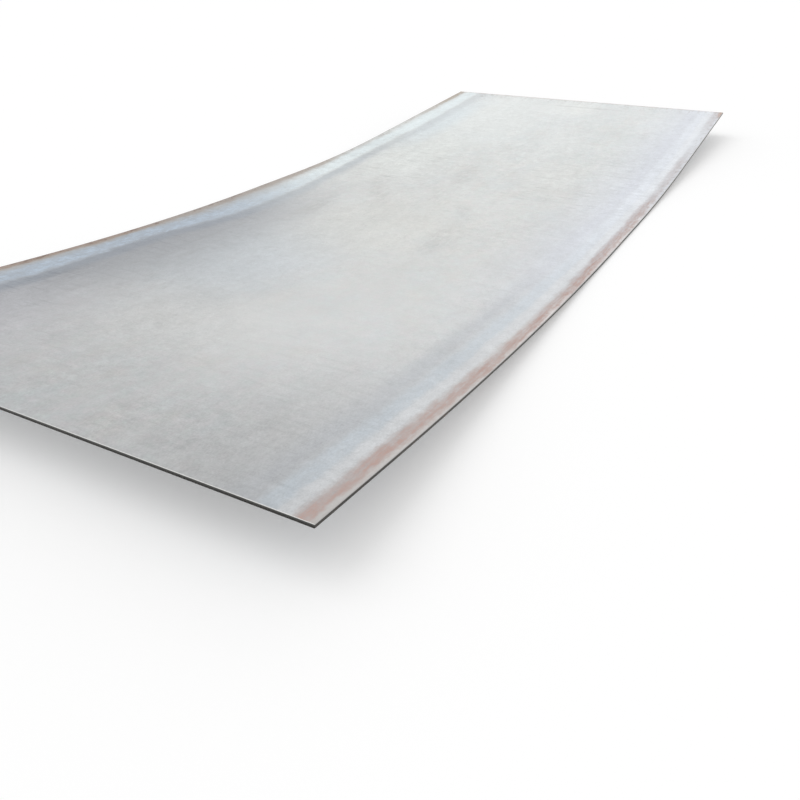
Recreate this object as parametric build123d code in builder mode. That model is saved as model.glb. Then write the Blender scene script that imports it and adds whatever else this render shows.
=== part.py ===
# Steel plate: one hot-rolled plate, 4 ft by 10 ft by 1/4 in, with mill edges along
# its length and sheared ends. It lies on a short flat land and bows up to both ends.
# Millimetres. +X runs across the plate, +Y along the rolling direction, +Z up.
# The origin is the centre of the land on the underside, where the plate rests.

from math import cos, radians, sin
import os

from build123d import *

# Plate
plate_width = 1219.2
plate_length = 3048.0
plate_thickness = 6.35

# Bow: a straight leg, a long near bend, the land, a shorter far bend, a straight leg.
# Each stretch is a share of the length, and the far leg takes what is left.
near_leg_share = 0.06
near_bend_share = 0.40
land_share = 0.08
far_bend_share = 0.19
near_bow_angle = 6.24
far_bow_angle = 4.50

# Mill edge: the long edges come rounded from the rolls, with a narrow flat between
mill_edge_radius = 2.0

# Sheared end: the blade rolls the top edge over, wipes a bright upright band, and the
# rest of the thickness breaks away under it, set back by the gap between the blades
shear_rollover_radius = 0.8
shear_bright_band = 1.9
blade_gap = 0.4
shear_trim = 12.0
cut_overrun = 3.0

# Stretches along the underside
near_leg_length = plate_length * near_leg_share
near_bend_length = plate_length * near_bend_share
land_length = plate_length * land_share
far_bend_length = plate_length * far_bend_share
far_leg_length = (
    plate_length - near_leg_length - near_bend_length - land_length - far_bend_length
)
near_bend_radius = near_bend_length / radians(near_bow_angle)
far_bend_radius = far_bend_length / radians(far_bow_angle)

# Where the underside of the near end lies, seen from the side
near_slope = radians(near_bow_angle)
near_reach = (
    land_length / 2
    + near_bend_radius * sin(near_slope)
    + near_leg_length * cos(near_slope)
)
near_lift = near_bend_radius * (1 - cos(near_slope)) + near_leg_length * sin(near_slope)


def underside_line(workplane, trim):
    """The underside from the near end to the far end, with trim left on both ends."""
    with BuildLine(workplane) as underside:
        near_leg = PolarLine(
            start=(
                -near_reach - trim * cos(near_slope),
                near_lift + trim * sin(near_slope),
            ),
            length=near_leg_length + trim,
            angle=-near_bow_angle,
        )
        near_bend = JernArc(near_leg @ 1, near_leg % 1, near_bend_radius, near_bow_angle)
        land = PolarLine(near_bend @ 1, land_length, direction=near_bend % 1)
        far_bend = JernArc(land @ 1, land % 1, far_bend_radius, far_bow_angle)
        PolarLine(far_bend @ 1, far_leg_length + trim, direction=far_bend % 1)
    return underside


def shear_waste(tip, inward, across):
    """What the shear takes off one end, seen from the side, with the end's profile."""
    bright_top = plate_thickness - shear_rollover_radius
    bright_foot = bright_top - shear_bright_band
    with BuildSketch(Plane(origin=tip, x_dir=inward, z_dir=across)) as waste:
        with BuildLine():
            Polyline(
                (blade_gap, 0),
                (0, bright_foot),
                (0, bright_top),
            )
            RadiusArc(
                (0, bright_top),
                (shear_rollover_radius, plate_thickness),
                shear_rollover_radius,
            )
            Polyline(
                (shear_rollover_radius, plate_thickness),
                (shear_rollover_radius, plate_thickness + cut_overrun),
                (-shear_trim - cut_overrun, plate_thickness + cut_overrun),
                (-shear_trim - cut_overrun, -cut_overrun),
                (blade_gap, -cut_overrun),
                (blade_gap, 0),
            )
        make_face()
    return waste.sketch.face()


with BuildPart() as steel_plate:
    # The bowed plate seen from the side, spread across its width
    with BuildSketch(Plane.YZ):
        with BuildLine():
            add(underside_line(Plane.XY, shear_trim).line)
            offset(amount=plate_thickness, side=Side.LEFT)
        make_face()
    extrude(amount=plate_width / 2, both=True)

    # Mill edges
    side_edges = steel_plate.faces().filter_by(Axis.X).edges()
    end_edges = side_edges.group_by(SortBy.LENGTH)[0]
    fillet(side_edges - end_edges, radius=mill_edge_radius)

    # Sheared ends
    underside = underside_line(Plane.YZ, 0).wire()
    extrude(
        [
            shear_waste(underside @ 0, underside % 0, (1, 0, 0)),
            shear_waste(underside @ 1, -(underside % 1), (-1, 0, 0)),
        ],
        amount=plate_width / 2 + cut_overrun,
        both=True,
        mode=Mode.SUBTRACT,
    )

os.makedirs("parts", exist_ok=True)
steel_plate.part.label = "steel_plate"
export_step(steel_plate.part, "parts/steel_plate.step")
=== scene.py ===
from math import pi, radians

import bpy
from mathutils import Matrix


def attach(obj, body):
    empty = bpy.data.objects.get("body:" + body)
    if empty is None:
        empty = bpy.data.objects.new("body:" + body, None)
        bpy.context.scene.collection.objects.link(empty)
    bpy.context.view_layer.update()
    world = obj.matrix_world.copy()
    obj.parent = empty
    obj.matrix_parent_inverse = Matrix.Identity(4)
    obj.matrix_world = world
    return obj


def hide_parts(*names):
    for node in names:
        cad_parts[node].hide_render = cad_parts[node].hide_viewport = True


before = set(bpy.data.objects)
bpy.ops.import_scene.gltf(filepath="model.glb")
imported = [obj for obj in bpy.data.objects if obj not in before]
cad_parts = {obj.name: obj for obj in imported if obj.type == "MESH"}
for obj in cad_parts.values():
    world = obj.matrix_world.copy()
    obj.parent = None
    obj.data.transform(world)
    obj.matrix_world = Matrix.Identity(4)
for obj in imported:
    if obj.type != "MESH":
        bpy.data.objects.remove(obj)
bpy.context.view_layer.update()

# Camera
# It stands off the near right-hand corner of the plate, at table height, and looks
# over the plate to its far end, through a slightly wide lens.
camera_place = (1.0382, -2.0846, 0.6811)
camera_heading, camera_tilt, camera_roll = 28.94, 30.64, -0.22
camera_lens, camera_sensor = 34.03, 36.0

view = bpy.data.cameras.new("camera")
view.lens = camera_lens
view.sensor_width = camera_sensor
camera = bpy.data.objects.new("camera", view)
camera.matrix_world = (
    Matrix.Translation(camera_place)
    @ Matrix.Rotation(radians(camera_heading), 4, "Z")
    @ Matrix.Rotation(radians(90 - camera_tilt), 4, "X")
    @ Matrix.Rotation(radians(camera_roll), 4, "Z")
)
bpy.context.scene.collection.objects.link(camera)
bpy.context.scene.camera = camera
bpy.context.scene.view_settings.view_transform = "Standard"

# Floor
# A wide, plain white studio floor. It keeps the plate's shadow, and a faint glow of its
# own that only the eye sees brings the open floor up to white.
floor_half_width = 60.0
floor_drop = 0.0002
floor_colour = (0.8, 0.8, 0.8, 1.0)
floor_glow = 0.24


class Field:
    """A socket of the node tree in hand. Arithmetic on it adds Math nodes to the tree."""

    tree = None

    def __init__(self, socket):
        self.socket = socket

    @classmethod
    def add(cls, kind, settings=None, inputs=None, output=0):
        """Adds a node of that kind: its settings first, then its inputs' values or links."""
        node = cls.tree.nodes.new(kind)
        for name, value in (settings or {}).items():
            if name == "stops":
                ramp = node.color_ramp.elements
                while len(ramp) < len(value):
                    ramp.new(1.0)
                for stop, (place, colour) in zip(ramp, value):
                    stop.position, stop.color = place, colour
            else:
                setattr(node, name, value)
        for name, value in (inputs or {}).items():
            if isinstance(value, Field):
                cls.tree.links.new(value.socket, node.inputs[name])
            else:
                node.inputs[name].default_value = value
        return cls(node.outputs[output]) if node.outputs else node

    def math(self, operation, *others):
        inputs = dict(enumerate((self, *others)))
        return Field.add("ShaderNodeMath", {"operation": operation}, inputs)

    def __add__(self, other):
        return self.math("ADD", other)

    def __sub__(self, other):
        return self.math("SUBTRACT", other)

    def __mul__(self, other):
        return self.math("MULTIPLY", other)

    def __truediv__(self, other):
        return self.math("DIVIDE", other)

    def __neg__(self):
        return self.math("MULTIPLY", -1.0)

    def __rsub__(self, other):
        return (-self).math("ADD", other)

    __radd__ = __add__
    __rmul__ = __mul__

    def within(self, low, high):
        return self.math("MAXIMUM", low).math("MINIMUM", high)

    def rise(self, low, high):
        """0 up to low, 1 from high on, and a smooth step between the two."""
        settings = {"interpolation_type": "SMOOTHSTEP"}
        inputs = {"Value": self, "From Min": low, "From Max": high}
        return Field.add("ShaderNodeMapRange", settings, inputs)

    def fall(self, low, high):
        """1 up to low, 0 from high on, and a smooth step between the two."""
        return 1 - self.rise(low, high)

    def band(self, low, high, blur):
        """1 from low to high and 0 outside, blurred at both ends."""
        return self.rise(low - blur, low + blur) - self.rise(high - blur, high + blur)


floor_skin = bpy.data.materials.new("white_floor")
floor_skin.use_nodes = True
Field.tree = floor_skin.node_tree
Field.tree.nodes.clear()
seen_ray = Field.add("ShaderNodeLightPath", output="Is Camera Ray").math(
    "MAXIMUM", Field.add("ShaderNodeLightPath", output="Is Glossy Ray")
)
matt_floor = Field.add(
    "ShaderNodeAddShader",
    inputs={
        0: Field.add("ShaderNodeBsdfDiffuse", inputs={"Color": floor_colour}),
        1: Field.add("ShaderNodeEmission", inputs={"Strength": seen_ray * floor_glow}),
    },
)
Field.add(
    "ShaderNodeOutputMaterial",
    inputs={
        "Surface": Field.add(
            "ShaderNodeMixShader",
            inputs={
                0: Field.add("ShaderNodeNewGeometry", output="Backfacing"),
                1: matt_floor,
                2: Field.add("ShaderNodeBsdfTransparent"),
            },
        )
    },
)

floor_mesh = bpy.data.meshes.new("floor")
floor_mesh.from_pydata(
    [
        (floor_half_width * x, floor_half_width * y, -floor_drop)
        for x, y in ((-1, -1), (1, -1), (1, 1), (-1, 1))
    ],
    [],
    [(0, 1, 2, 3)],
)
floor_mesh.materials.append(floor_skin)
floor = bpy.data.objects.new("floor", floor_mesh)
bpy.context.scene.collection.objects.link(floor)

# Surround and lamps
# A white surround lights the plate evenly. A broad, soft lamp high up on the left gives
# it a gentle sheen and a soft shadow, and a weak, low one lights it from the far end.
surround_strength = 0.78
lamps = {
    "key_lamp": {"heading": 107.0, "height": 55.0, "width": 50.0, "strength": 0.60},
    "back_lamp": {"heading": 17.0, "height": 14.0, "width": 44.0, "strength": 0.22},
}

surround = bpy.data.worlds.new("white_surround")
surround.use_nodes = True
bpy.context.scene.world = surround
Field.tree = surround.node_tree
Field.tree.nodes.clear()
seen_ray = (
    Field.add("ShaderNodeLightPath", output="Is Camera Ray")
    .math("MAXIMUM", Field.add("ShaderNodeLightPath", output="Is Glossy Ray"))
    .math("MAXIMUM", Field.add("ShaderNodeLightPath", output="Is Transmission Ray"))
)
strength = seen_ray * (1 - surround_strength) + surround_strength
Field.add(
    "ShaderNodeOutputWorld",
    inputs={
        "Surface": Field.add(
            "ShaderNodeBackground",
            inputs={"Color": (1.0, 1.0, 1.0, 1.0), "Strength": strength},
        )
    },
)

for name, lamp in lamps.items():
    light = bpy.data.lights.new(name, "SUN")
    light.angle = radians(lamp["width"])
    light.energy = lamp["strength"]
    stand = bpy.data.objects.new(name, light)
    stand.rotation_euler = (radians(90 - lamp["height"]), 0, radians(lamp["heading"] + 180))
    bpy.context.scene.collection.objects.link(stand)

# Steel plate
# One hot-rolled plate, 4 ft by 10 ft by 1/4 in, in its mill scale. Its long edges come
# rounded from the rolls, its ends are sheared, and it bows up from a short flat land.
width, length, thickness = 1.2192, 3.048, 0.00635
land_share, near_bend_share, far_bend_share = 0.08, 0.40, 0.19
shear_rollover, shear_bright_band = 0.0008, 0.0019
plate_sizes = {
    "Width": width,
    "Length": length,
    "Thickness": thickness,
    "Land": length * land_share,
    "Near bend": length * near_bend_share,
    "Far bend": length * far_bend_share,
    "Near bow": radians(6.24),
    "Far bow": radians(4.50),
    "Mill edge radius": 0.002,
    "Shear rollover": shear_rollover,
    "Shear bright band": shear_bright_band,
    "Blade gap": 0.0004,
    "Flatness": 0.0006,
    "Edge waviness": 0.0005,
    "Shear waviness": 0.0003,
}
plate_rows = (120, 300, 17)
flat_reach = 0.6


def patches(place, across, along, seed, detail=2.0, roughness=0.5):
    """Random patches, 0 to 1, of about that size in metres across and along the plate."""
    scaled = Field.add(
        "ShaderNodeVectorMath",
        {"operation": "MULTIPLY_ADD"},
        {0: place, 1: (1 / across, 1 / along, 1 / across), 2: (seed, 2 * seed, 0.0)},
    )
    noise = {"Vector": scaled, "Scale": 1.0, "Detail": detail, "Roughness": roughness}
    return Field.add("ShaderNodeTexNoise", inputs=noise)


top_scale = bpy.data.materials.new("top_mill_scale")
under_scale = bpy.data.materials.new("under_mill_scale")
mill_edge = bpy.data.materials.new("mill_edge")
sheared_end = bpy.data.materials.new("sheared_end")

plate_shape = bpy.data.node_groups.new("bowed_plate", "GeometryNodeTree")
Field.tree = plate_shape
interface = plate_shape.interface
for name in plate_sizes:
    interface.new_socket(name, in_out="INPUT", socket_type="NodeSocketFloat")
interface.new_socket("Plate", in_out="OUTPUT", socket_type="NodeSocketGeometry")
size_node = plate_shape.nodes.new("NodeGroupInput")
size = {name: Field(size_node.outputs[name]) for name in plate_sizes}

# A block of one metre, closely divided, that carries which way each of its faces looks
block = Field.add(
    "GeometryNodeMeshCube",
    inputs={
        "Vertices X": plate_rows[0],
        "Vertices Y": plate_rows[1],
        "Vertices Z": plate_rows[2],
    },
)
block = Field.add(
    "GeometryNodeStoreNamedAttribute",
    {"data_type": "FLOAT_VECTOR", "domain": "FACE"},
    {
        "Geometry": block,
        "Name": "facing",
        "Value": Field.add("GeometryNodeInputNormal", output="True Normal"),
    },
)

# Its place from -1 to 1 each way, with the divisions closest at the plate's edges
spot = Field.add("GeometryNodeInputPosition")
sides, ends, faces = (
    (Field.add("ShaderNodeSeparateXYZ", inputs={0: spot}, output=axis) * pi).math("SINE")
    for axis in "XYZ"
)
height = size["Thickness"] * (faces * 0.5 + 0.5)

# Mill edge: how far the rounded edge stands back at each height
corner = size["Mill edge radius"]
into_corner = (corner - height).math("MAXIMUM", height + corner - size["Thickness"])
into_corner = into_corner.math("MAXIMUM", 0.0)
edge_set_back = corner - (corner * corner - into_corner * into_corner).math(
    "MAXIMUM", 0.0
).math("SQRT")

# Sheared end: rolled over at the top, a bright upright band, then a broken face
rollover = size["Shear rollover"]
bright_top = size["Thickness"] - rollover
bright_foot = bright_top - size["Shear bright band"]
into_rollover = (height - bright_top).math("MAXIMUM", 0.0)
shear_set_back = (
    size["Blade gap"] * (1 - height / bright_foot).math("MAXIMUM", 0.0)
    + rollover
    - (rollover * rollover - into_rollover * into_rollover)
    .math("MAXIMUM", 0.0)
    .math("SQRT")
)

# The flat plate, with the small unevenness of its edges
rough_place = Field.add(
    "ShaderNodeCombineXYZ",
    inputs={0: sides * size["Width"] * 0.5, 1: ends * size["Length"] * 0.5, 2: height},
)
half_width = (
    size["Width"] * 0.5
    - edge_set_back
    - size["Edge waviness"] * patches(rough_place, 2.0, 0.25, seed=3.0, detail=3.0)
)
half_length = (
    size["Length"] * 0.5
    - shear_set_back
    - size["Shear waviness"] * patches(rough_place, 0.06, 2.0, seed=5.0, detail=4.0)
)
across = sides * half_width
along = ends * half_length
flat_place = Field.add(
    "ShaderNodeCombineXYZ", inputs={0: across, 1: along, 2: height}
)
plate = Field.add(
    "GeometryNodeStoreNamedAttribute",
    {"data_type": "FLOAT_VECTOR", "domain": "POINT"},
    {"Geometry": block, "Name": "flat_place", "Value": flat_place},
)

# The bow: on each side of the land a bend, and past it a straight leg
half_land = size["Land"] * 0.5
reach = along.within(-half_land, half_land)
lift = height
lean = 0.0
for way, end in ((-1.0, "Near"), (1.0, "Far")):
    past_land = (along * way - half_land).math("MAXIMUM", 0.0)
    bend, bow = size[end + " bend"], size[end + " bow"]
    radius = bend / bow
    turned = past_land.math("MINIMUM", bend) / radius
    leg = (past_land - bend).math("MAXIMUM", 0.0)
    sine, cosine = turned.math("SINE"), turned.math("COSINE")
    reach = reach + (radius * sine + leg * cosine) * way
    lift = lift + radius * (1 - cosine) + leg * sine
    lean = lean + turned * way

# The small unevenness of its flatness, which fades out towards the land
off_land = (along.math("ABSOLUTE") - half_land).rise(0.0, flat_reach)
ripple = size["Flatness"] * (patches(flat_place, 0.5, 0.4, seed=9.0) - 0.5) * off_land
above = height + ripple
bowed_place = Field.add(
    "ShaderNodeCombineXYZ",
    inputs={
        0: across,
        1: reach - above * lean.math("SINE"),
        2: lift - height + above * lean.math("COSINE"),
    },
)
plate = Field.add(
    "GeometryNodeSetPosition", inputs={"Geometry": plate, "Position": bowed_place}
)
plate = Field.add("GeometryNodeSetShadeSmooth", inputs={"Geometry": plate})

# Each finish on its own faces
plate = Field.add("GeometryNodeRealizeInstances", inputs={"Geometry": plate})
facing = Field.add(
    "GeometryNodeInputNamedAttribute", {"data_type": "FLOAT_VECTOR"}, {"Name": "facing"}
)
facing_side, facing_end, facing_up = (
    Field.add("ShaderNodeSeparateXYZ", inputs={0: facing}, output=axis) for axis in "XYZ"
)
for finish, faces_it in (
    (top_scale, facing_up),
    (under_scale, -facing_up),
    (mill_edge, facing_side.math("ABSOLUTE")),
    (sheared_end, facing_end.math("ABSOLUTE")),
):
    chosen = Field.add(
        "FunctionNodeCompare", {"operation": "GREATER_THAN"}, {0: faces_it, 1: 0.5}
    )
    plate = Field.add(
        "GeometryNodeSetMaterial",
        inputs={"Geometry": plate, "Selection": chosen, "Material": finish},
    )
Field.add("NodeGroupOutput", inputs={"Plate": plate})

blank = bpy.data.objects.new("blank", bpy.data.meshes.new("blank"))
bpy.context.scene.collection.objects.link(blank)
shaping = blank.modifiers.new("shape", "NODES")
shaping.node_group = plate_shape
for socket in interface.items_tree:
    if socket.in_out == "INPUT":
        shaping[socket.identifier] = plate_sizes[socket.name]
ready = bpy.context.evaluated_depsgraph_get()
steel = bpy.data.objects.new(
    "plate", bpy.data.meshes.new_from_object(blank.evaluated_get(ready))
)
bpy.data.objects.remove(blank)
bpy.context.scene.collection.objects.link(steel)


relief_depth = 0.0002


def finish_in(material):
    """Starts a material. Gives its places on the flat plate, as across, along, height."""
    material.use_nodes = True
    Field.tree = material.node_tree
    Field.tree.nodes.clear()
    return Field.add(
        "ShaderNodeAttribute", {"attribute_name": "flat_place"}, output="Vector"
    )


def end_with(colour, metallic, roughness, relief):
    """Ends a material with its colour, its gloss and its fine relief."""
    bump = Field.add("ShaderNodeBump", inputs={"Distance": relief_depth, "Height": relief})
    shader = Field.add(
        "ShaderNodeBsdfPrincipled",
        inputs={
            "Base Color": colour,
            "Metallic": metallic,
            "Roughness": roughness,
            "Normal": bump,
        },
    )
    Field.add("ShaderNodeOutputMaterial", inputs={"Surface": shader})


def cover(below, above, mask):
    """The colour below, covered by the colour above as far as the mask says."""
    settings = {"data_type": "RGBA"}
    return Field.add("ShaderNodeMix", settings, {0: mask, 6: below, 7: above}, 2)


def shade(colour, level):
    """The colour, darker or lighter by that level."""
    settings = {"operation": "SCALE"}
    return Field.add("ShaderNodeVectorMath", settings, {0: colour, "Scale": level})


def axes_of(place):
    """How far a place is across, along and up the flat plate, from its middle."""
    return (
        Field.add("ShaderNodeSeparateXYZ", inputs={0: place}, output=axis)
        for axis in "XYZ"
    )


def scale_marks(place, seed, barred, busy=1.0):
    """The unevenness of mill scale: its level, around 1, its roughness and its relief.
    Streaks run along the rolling, dark marks lie across where it is barred, and busy
    says how uneven the level is."""
    clouds = patches(place, 0.30, 0.40, seed=seed, detail=3.0) - 0.5
    wide_streaks = patches(place, 0.032, 0.20, seed=seed + 1, detail=4.0, roughness=0.6) - 0.5
    streaks = patches(place, 0.009, 0.055, seed=seed + 2, detail=4.0, roughness=0.65) - 0.5
    bars = patches(place, 0.070, 0.008, seed=seed + 3, detail=4.0, roughness=0.65)
    wide_bars = patches(place, 0.085, 0.017, seed=seed + 6, detail=4.0, roughness=0.65)
    blotches = patches(place, 0.060, 0.060, seed=seed + 7, detail=5.0, roughness=0.65) - 0.5
    mottle = patches(place, 0.016, 0.020, seed=seed + 4, detail=5.0, roughness=0.7) - 0.5
    grain = patches(place, 0.0025, 0.004, seed=seed + 5, detail=3.0, roughness=0.7) - 0.5
    dashes = barred * (bars.rise(0.53, 0.63) + 1.3 * wide_bars.rise(0.53, 0.62))
    dashes = dashes * (0.3 + 0.7 * mottle.rise(-0.05, 0.06))
    level = (
        1.0
        + 0.20 * clouds
        + busy * (0.11 * wide_streaks + 0.15 * streaks + 0.16 * (bars - 0.5))
        + busy * (0.20 * blotches + 0.44 * mottle + 0.44 * grain)
        - 0.11 * dashes
    )
    roughness = 0.40 + 0.15 * streaks + 0.12 * mottle + 0.05 * dashes
    relief = streaks * 0.4 + bars * 0.3 + grain * 0.5 - dashes * 0.3
    return level, roughness, relief


def smudge(place, centre, turn, across, along):
    """A soft oval, 1 at its centre and 0 from its rim on, turned by degrees."""
    settings = {"vector_type": "TEXTURE"}
    inputs = {
        "Vector": place,
        "Location": (*centre, 0.0),
        "Rotation": (0.0, 0.0, radians(turn)),
        "Scale": (across, along, 1.0),
    }
    oval = Field.add("ShaderNodeMapping", settings, inputs)
    reach = Field.add("ShaderNodeVectorMath", {"operation": "LENGTH"}, {0: oval}, "Value")
    return reach.fall(0.2, 1.0)


# Top face: places are given as shares of the length, from the near end, and as metres
# from an edge, where patches make the distance from the long edges uneven
place = finish_in(top_scale)
across, along, _ = axes_of(place)
share = along / length + 0.5
ragged = patches(place, 0.009, 0.022, seed=25.0, detail=5.0, roughness=0.75) - 0.5
lapping = patches(place, 0.06, 0.11, seed=21.0, detail=4.0, roughness=0.6) - 0.5
from_left = width / 2 + across + 0.030 * lapping + 0.026 * ragged
from_right = width / 2 - across + 0.020 * lapping + 0.018 * ragged
from_far = length / 2 - along


def lengthwise(near, far, start, end):
    """A colour that turns from the near one to the far one along the plate."""
    return cover((*near, 1.0), (*far, 1.0), share.rise(start, end))


# Painted sheen: the scale's tone is darker at the near end and lighter towards the far end
colour = Field.add(
    "ShaderNodeValToRGB",
    {
        "stops": (
            (0.00, (0.462, 0.468, 0.472, 1.0)),
            (0.13, (0.503, 0.511, 0.512, 1.0)),
            (0.33, (0.476, 0.484, 0.478, 1.0)),
            (0.60, (0.488, 0.498, 0.490, 1.0)),
            (0.80, (0.533, 0.552, 0.548, 1.0)),
            (1.00, (0.548, 0.567, 0.567, 1.0)),
        )
    },
    {0: share},
)

# Faint tints: brown and blue in large patches, pink and green in small ones
tints = patches(place, 0.075, 0.13, seed=41.0, detail=5.0, roughness=0.60)
colour = cover(colour, (0.51, 0.490, 0.462, 1.0), 0.26 * tints.rise(0.50, 0.68))
colour = cover(colour, (0.47, 0.515, 0.535, 1.0), 0.26 * tints.fall(0.32, 0.50))
hues = patches(place, 0.018, 0.022, seed=42.0, detail=5.0, roughness=0.70)
colour = cover(colour, (0.53, 0.480, 0.500, 1.0), 0.24 * hues.rise(0.51, 0.64))
colour = cover(colour, (0.455, 0.525, 0.500, 1.0), 0.24 * hues.fall(0.36, 0.49))

# Broad, faint patches: paler ones down the middle, bluer ones towards both sides
for centre, across_it, along_it, tone, strength in (
    ((-0.27, 1.10), 0.30, 0.60, (0.580, 0.602, 0.594, 1.0), 0.80),
    ((-0.33, 0.50), 0.24, 0.46, (0.552, 0.572, 0.556, 1.0), 0.70),
    ((0.12, 0.84), 0.15, 0.32, (0.580, 0.597, 0.590, 1.0), 0.50),
    ((0.00, 1.40), 0.16, 0.20, (0.620, 0.635, 0.620, 1.0), 0.60),
    ((0.23, 0.46), 0.14, 0.26, (0.560, 0.570, 0.556, 1.0), 0.60),
    ((0.00, -1.05), 0.32, 0.26, (0.555, 0.560, 0.555, 1.0), 0.70),
    ((-0.20, -0.66), 0.36, 0.50, (0.452, 0.484, 0.512, 1.0), 0.75),
    ((-0.45, 1.02), 0.11, 0.60, (0.490, 0.550, 0.580, 1.0), 0.60),
    ((-0.05, -0.25), 0.36, 0.46, (0.498, 0.500, 0.474, 1.0), 0.50),
    ((-0.22, 0.34), 0.14, 0.26, (0.556, 0.572, 0.562, 1.0), 0.45),
    ((0.50, 0.95), 0.11, 0.36, (0.590, 0.622, 0.655, 1.0), 0.45),
):
    patch = smudge(place, centre, 0.0, across_it, along_it)
    colour = cover(colour, tone, strength * patch)

# Painted reflection: a dark blue-grey patch, in blotches, along the left of the near half.
# Painted shade over the near right corner, a colder strip along the right and a faint
# purple one at the near left
dark_reflection = (
    from_left.fall(0.14, 0.44)
    * share.fall(0.37, 0.56)
    * (0.86 + 0.14 * share.rise(0.05, 0.18))
)
colour = cover(colour, (0.308, 0.320, 0.342, 1.0), 0.97 * dark_reflection)
dark_reflection_blotches = patches(place, 0.050, 0.17, seed=35.0, detail=4.0, roughness=0.65).rise(0.50, 0.68)
colour = cover(colour, (0.250, 0.242, 0.232, 1.0), 0.30 * dark_reflection * dark_reflection_blotches)
# Painted shade: the near right corner darker
near_right_shade = from_right.fall(0.10, 0.42) * share.fall(0.05, 0.26)
colour = cover(colour, (0.385, 0.390, 0.395, 1.0), 0.80 * near_right_shade)
chilled = from_right.fall(0.10, 0.32) * share.rise(0.14, 0.50)
colour = cover(
    colour, lengthwise((0.450, 0.466, 0.500), (0.526, 0.548, 0.584), 0.32, 0.64), 0.85 * chilled
)
purple = from_left.fall(0.25, 0.60) * share.fall(0.06, 0.22)
colour = cover(colour, (0.450, 0.446, 0.474, 1.0), 0.55 * purple)

# Left edge: a pale band, blue near and white far, that rises from the brown of the edge
# and swings inwards at mid length, and a dark line along its inner side
swing = share.rise(0.27, 0.41) - share.rise(0.43, 0.62)
pale_line = (
    0.064
    + 0.040 * swing
    + 0.014 * share.fall(0.14, 0.24)
    - 0.008 * share.band(0.25, 0.31, 0.03)
    - 0.012 * share.band(0.60, 0.76, 0.04)
)
blues = patches(place, 0.012, 0.024, seed=27.0, detail=5.0, roughness=0.7)
colour = cover(
    colour,
    lengthwise((0.255, 0.280, 0.318), (0.366, 0.395, 0.415), 0.34, 0.50),
    (0.92 - 0.46 * share.rise(0.60, 0.74))
    * from_left.rise(pale_line + 0.024, pale_line + 0.048)
    * from_left.fall(pale_line + 0.060, pale_line + 0.105),
)
brown_side = from_left.fall(0.018, pale_line - 0.008) * (1 - 0.9 * share.rise(0.52, 0.64))
colour = cover(colour, (0.390, 0.372, 0.350, 1.0), 0.85 * brown_side)
colour = cover(
    colour,
    lengthwise((0.372, 0.436, 0.512), (0.572, 0.630, 0.645), 0.33, 0.60),
    from_left.rise(0.020 - 0.013 * share.band(0.60, 0.86, 0.04), pale_line - 0.006)
    * from_left.fall(pale_line + 0.016, pale_line + 0.048)
    * (0.74 + 1.5 * (blues - 0.40)).within(0.0, 1.0),
)
colour = cover(
    colour,
    (0.47, 0.56, 0.66, 1.0),
    0.50
    * blues.rise(0.46, 0.66)
    * from_left.band(0.042, 0.104, 0.016)
    * share.fall(0.34, 0.50),
)

# Right edge: a white ridge beside the rust, then a cold blue band, and further in a dark trough in
# painted shade
trough_shade_streaks = patches(place, 0.04, 0.22, seed=29.0, detail=4.0, roughness=0.6)
trough_shade = (0.60 + 1.1 * (trough_shade_streaks - 0.4)).within(0.0, 1.0)
# Painted shade: a darker streaky band along the trough
colour = cover(
    colour,
    lengthwise((0.366, 0.380, 0.402), (0.508, 0.528, 0.574), 0.22, 0.50),
    0.90 * trough_shade * from_right.band(0.086, 0.134, 0.028),
)
colour = cover(
    colour,
    lengthwise((0.414, 0.452, 0.488), (0.584, 0.612, 0.656), 0.20, 0.64),
    0.92 * from_right.band(0.054, 0.090, 0.012) * (0.65 + 0.9 * (blues - 0.3)).within(0.0, 1.0),
)
colour = cover(
    colour,
    lengthwise((0.488, 0.498, 0.510), (0.600, 0.622, 0.652), 0.20, 0.75),
    0.92 * from_right.rise(0.026, 0.042) * from_right.fall(0.050, 0.066),
)

# Marks of handling: wiped smudges, thin scratches across, a broken dark line across near
# the far end, dark marks across, and flecks where the scale is roughest
wiped = 0.0
for centre, turn, across_it, along_it in (
    ((-0.22, 0.05), 35.0, 0.045, 0.22),
    ((-0.02, 0.10), 30.0, 0.050, 0.16),
    ((0.12, -0.02), 28.0, 0.035, 0.12),
    ((-0.28, 0.20), 20.0, 0.050, 0.10),
    ((-0.05, 0.36), 8.0, 0.050, 0.22),
    ((-0.31, -0.14), 12.0, 0.055, 0.18),
    ((0.17, -0.28), 5.0, 0.060, 0.20),
    ((-0.44, -1.02), 0.0, 0.060, 0.18),
):
    wiped = wiped + smudge(place, centre, turn, across_it, along_it)
wiped = wiped * patches(place, 0.014, 0.045, seed=43.0, detail=4.0, roughness=0.65).rise(0.38, 0.58)
scratches = patches(place, 0.80, 0.0060, seed=47.0, detail=3.0, roughness=0.6).rise(0.58, 0.70)
scratches = scratches * patches(place, 0.35, 0.20, seed=49.0, detail=2.0).rise(0.42, 0.60)
far_dark_line_place = from_far + 0.022 * (patches(place, 0.10, 0.30, seed=50.0, detail=3.0) - 0.5)
far_dark_line = far_dark_line_place.band(0.106, 0.114, 0.012) * across.band(-0.10, 0.22, 0.08)
far_dark_line_gaps = patches(place, 0.030, 0.020, seed=52.0, detail=4.0, roughness=0.7)
far_dark_line = far_dark_line * far_dark_line_gaps.rise(0.30, 0.50)
barred = (
    0.10
    + 0.70 * share.band(0.54, 0.74, 0.05) * (1 - 0.85 * across.band(-0.16, 0.12, 0.07))
    + 0.30 * share.fall(0.08, 0.22)
    + 0.45 * dark_reflection
) * patches(place, 0.20, 0.10, seed=45.0, detail=2.0).rise(0.22, 0.44)
busy = 0.98 + 0.20 * share.band(0.56, 0.78, 0.10)
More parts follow.
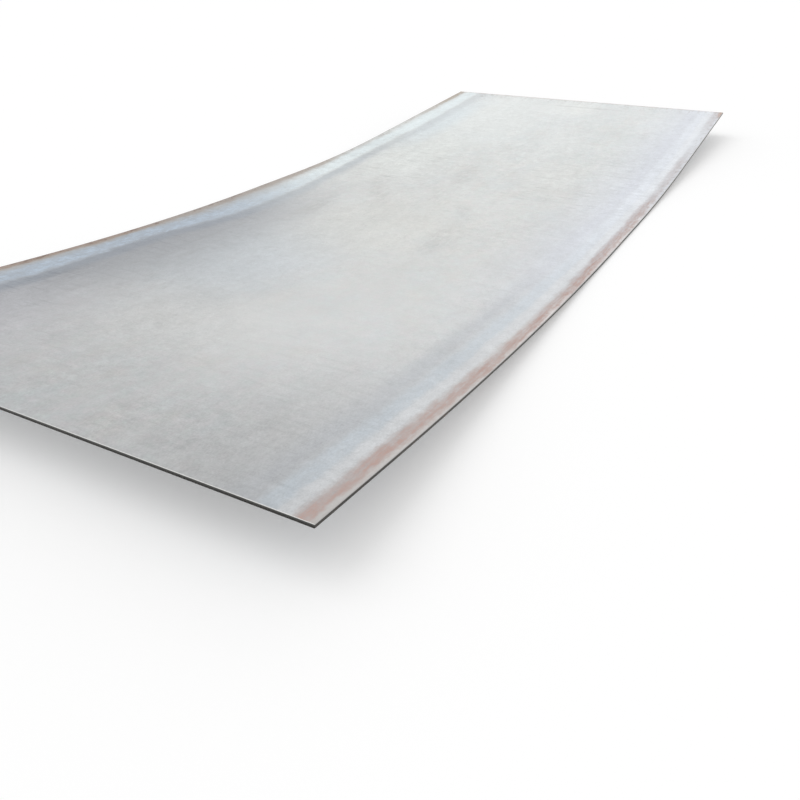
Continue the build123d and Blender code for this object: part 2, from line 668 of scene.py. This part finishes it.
busy = busy * (0.55 + 0.9 * patches(place, 0.12, 0.26, seed=48.0, detail=3.0))
busy = busy * (1.04 - 0.52 * smudge(place, (0.22, -0.86), 0.0, 0.34, 0.62))
flecked = smudge(place, (-0.08, -0.14), 0.0, 0.36, 0.52) + 0.5 * share.band(0.62, 0.86, 0.08)
flecks = patches(place, 0.008, 0.034, seed=46.0, detail=5.0, roughness=0.70)
flecks = flecks.rise(0.56, 0.68) * flecked
level, roughness, relief = scale_marks(place, 31.0, barred, busy)
colour = shade(
    colour, level - 0.11 * flecks - 0.11 * wiped - 0.045 * scratches - 0.26 * far_dark_line
)

# Light rust along both long edges, a breath of it at the far end and a spot in the
# far right corner
speckled = patches(place, 0.004, 0.008, seed=51.0, detail=4.0, roughness=0.75)
patchy = patches(place, 0.05, 0.12, seed=53.0, detail=4.0, roughness=0.65)
lined = patches(place, 0.0036, 0.060, seed=57.0, detail=4.0, roughness=0.65).rise(0.36, 0.60)
clumps = patches(place, 0.011, 0.026, seed=58.0, detail=5.0, roughness=0.75)
rust_amount = (
    (0.93 - 0.16 * share.band(0.43, 0.58, 0.04))
    * (
        1.0
        - 0.68 * share.rise(0.54, 0.66)
        - 0.30 * share.rise(0.74, 0.84)
        + 0.30 * share.rise(0.88, 0.96)
    )
    * (0.30 + 1.3 * patchy).within(0.0, 1.2)
)
rust_shift = 0.004 * (share.rise(0.06, 0.20) - share.rise(0.37, 0.42))
rust_start = 0.003 - 0.004 * share.rise(0.30, 0.42)
rust_place = (
    from_right
    + rust_shift
    - 0.003 * share.rise(0.48, 0.58)
    + (0.012 + 0.012 * share.rise(0.44, 0.60)) * (clumps - 0.5)
)
rust_right = (
    rust_place.rise(rust_start, rust_start + 0.014)
    * rust_place.fall(0.019, 0.042)
    * rust_amount
    * (0.04 + 1.0 * speckled + 0.50 * lined).within(0.0, 1.2)
    * (0.64 + 0.62 * clumps.rise(0.36, 0.60)).within(0.0, 1.2)
)
rust_left = (
    from_left.fall(0.016 + 0.008 * swing, 0.034 + 0.012 * swing)
    * (
        1.0
        - 0.56 * share.rise(0.26, 0.36)
        + 0.10 * share.rise(0.46, 0.56)
        - 0.44 * share.rise(0.60, 0.65)
        + 0.46 * share.rise(0.78, 0.94)
        + 0.34 * share.rise(0.90, 0.95)
    )
    * (0.10 + 1.8 * speckled).within(0.0, 1.0)
)
rust_far = from_far.fall(0.003, 0.014) * speckled.rise(0.42, 0.6)
rust_corner = smudge(place, (0.607, 1.50), 0.0, 0.020, 0.09) * speckled.rise(0.34, 0.50)

# Dark flakes of lifted scale at the edges and the far end, then the rust over them,
# and dark spots in the rust of the left edge
edge_distance = from_left.math("MINIMUM", from_right)
flakes = patches(place, 0.012, 0.035, seed=55.0, detail=4.0, roughness=0.75)
flakes = flakes.rise(0.53, 0.60) * (
    edge_distance.fall(0.010, 0.034)
    + 0.7 * from_far.fall(0.02, 0.12)
    + 0.7 * smudge(place, (-0.44, 1.43), 0.0, 0.07, 0.16)
)
colour = cover(colour, (0.31, 0.29, 0.28, 1.0), (0.5 * flakes).within(0.0, 0.6))
beige = from_right.fall(0.006, 0.024) * share.fall(0.50, 0.66)
colour = cover(
    colour, lengthwise((0.46, 0.435, 0.415), (0.58, 0.545, 0.525), 0.18, 0.30), 0.6 * beige
)
colour = cover(colour, (0.48, 0.345, 0.31, 1.0), (0.9 * rust_right).within(0.0, 1.0))
colour = cover(
    colour, lengthwise((0.34, 0.262, 0.218), (0.47, 0.405, 0.330), 0.36, 0.86), 0.88 * rust_left
)
spots = patches(place, 0.010, 0.028, seed=59.0, detail=4.0, roughness=0.75).rise(0.50, 0.60)
spots = spots * from_left.fall(0.010, 0.028) * (1 - 0.7 * share.rise(0.30, 0.60))
colour = cover(colour, (0.17, 0.11, 0.085, 1.0), 0.75 * spots)
colour = cover(colour, (0.55, 0.42, 0.33, 1.0), 0.6 * rust_far)
colour = cover(colour, (0.52, 0.33, 0.23, 1.0), 0.8 * rust_corner)
rust = (rust_left + rust_right + rust_far + rust_corner).within(0.0, 1.0)
end_with(
    colour,
    metallic=0.95 - 0.6 * rust,
    roughness=roughness + 0.3 * rust,
    relief=relief,
)

# Underside: the same scale, a little darker, with patchy rust and bluish sides
place = finish_in(under_scale)
across, _, _ = axes_of(place)
barred = patches(place, 0.22, 0.12, seed=65.0).rise(0.45, 0.60)
level, roughness, relief = scale_marks(place, 61.0, barred, busy=1.3)
tints = patches(place, 0.25, 0.40, seed=63.0, detail=3.0)
colour = cover((0.38, 0.39, 0.40, 1.0), (0.46, 0.48, 0.49, 1.0), tints.rise(0.35, 0.65))
side_lapping = patches(place, 0.06, 0.11, seed=64.0) - 0.5
from_side = width / 2 - across.math("ABSOLUTE") + 0.06 * side_lapping
colour = cover(colour, (0.46, 0.50, 0.54, 1.0), 0.8 * from_side.band(0.030, 0.090, 0.020))
colour = shade(colour, level)
rust = patches(place, 0.05, 0.12, seed=67.0, detail=5.0, roughness=0.70).rise(0.54, 0.76)
rust = rust * patches(place, 0.004, 0.008, seed=68.0, detail=4.0, roughness=0.75).rise(0.36, 0.60)
rust = (rust + 0.7 * from_side.fall(0.006, 0.036)).within(0.0, 1.0)
colour = cover(colour, (0.40, 0.28, 0.21, 1.0), 0.7 * rust)
end_with(
    colour,
    metallic=0.95 - 0.7 * rust,
    roughness=roughness + 0.3 * rust,
    relief=relief,
)

# Mill edges: dark along their middle, partly their own dark scale and partly painted shade, with
# the top face's pale scale over the rounding
place = finish_in(mill_edge)
_, _, height = axes_of(place)
ribs = patches(place, 0.0008, 0.10, seed=71.0, detail=3.0)
stains = patches(place, 0.5, 0.06, seed=73.0, detail=4.0, roughness=0.6)
lipped = height.rise(thickness - 0.0011, thickness - 0.0003)
colour = cover((0.034, 0.032, 0.029, 1.0), (0.095, 0.088, 0.078, 1.0), ribs.rise(0.35, 0.7))
colour = cover(colour, (0.13, 0.08, 0.055, 1.0), 0.6 * stains.rise(0.52, 0.68))
colour = cover(colour, (0.45, 0.44, 0.43, 1.0), lipped)
end_with(
    colour,
    metallic=0.5 + 0.3 * lipped,
    roughness=0.55 - 0.1 * lipped,
    relief=ribs,
)

# Sheared ends: a thin bright lip, the scale's colour with a painted highlight, and below it the cut
# band and the broken face, dark partly from their oxide and partly as painted shade
place = finish_in(sheared_end)
_, _, height = axes_of(place)
grooves = patches(place, 0.0006, 1.0, seed=81.0, detail=2.0)
broken = patches(place, 0.0025, 1.0, seed=83.0, detail=4.0, roughness=0.65)
cut_foot = thickness - shear_rollover - shear_bright_band
cut_blur = 0.0002
cut = height.rise(cut_foot - cut_blur, cut_foot + cut_blur)
lip = height.rise(thickness - 0.0009, thickness - 0.0004)
colour = cover((0.028, 0.028, 0.026, 1.0), (0.066, 0.063, 0.058, 1.0), broken.rise(0.35, 0.65))
colour = cover(colour, (0.075, 0.075, 0.072, 1.0), cut)
colour = cover(colour, (0.56, 0.56, 0.55, 1.0), lip)
end_with(
    shade(colour, 0.85 + 0.3 * grooves),
    metallic=0.8,
    roughness=0.6 - 0.25 * cut,
    relief=cover(broken, grooves, cut),
)

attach(steel, "root")
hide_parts("steel_plate")
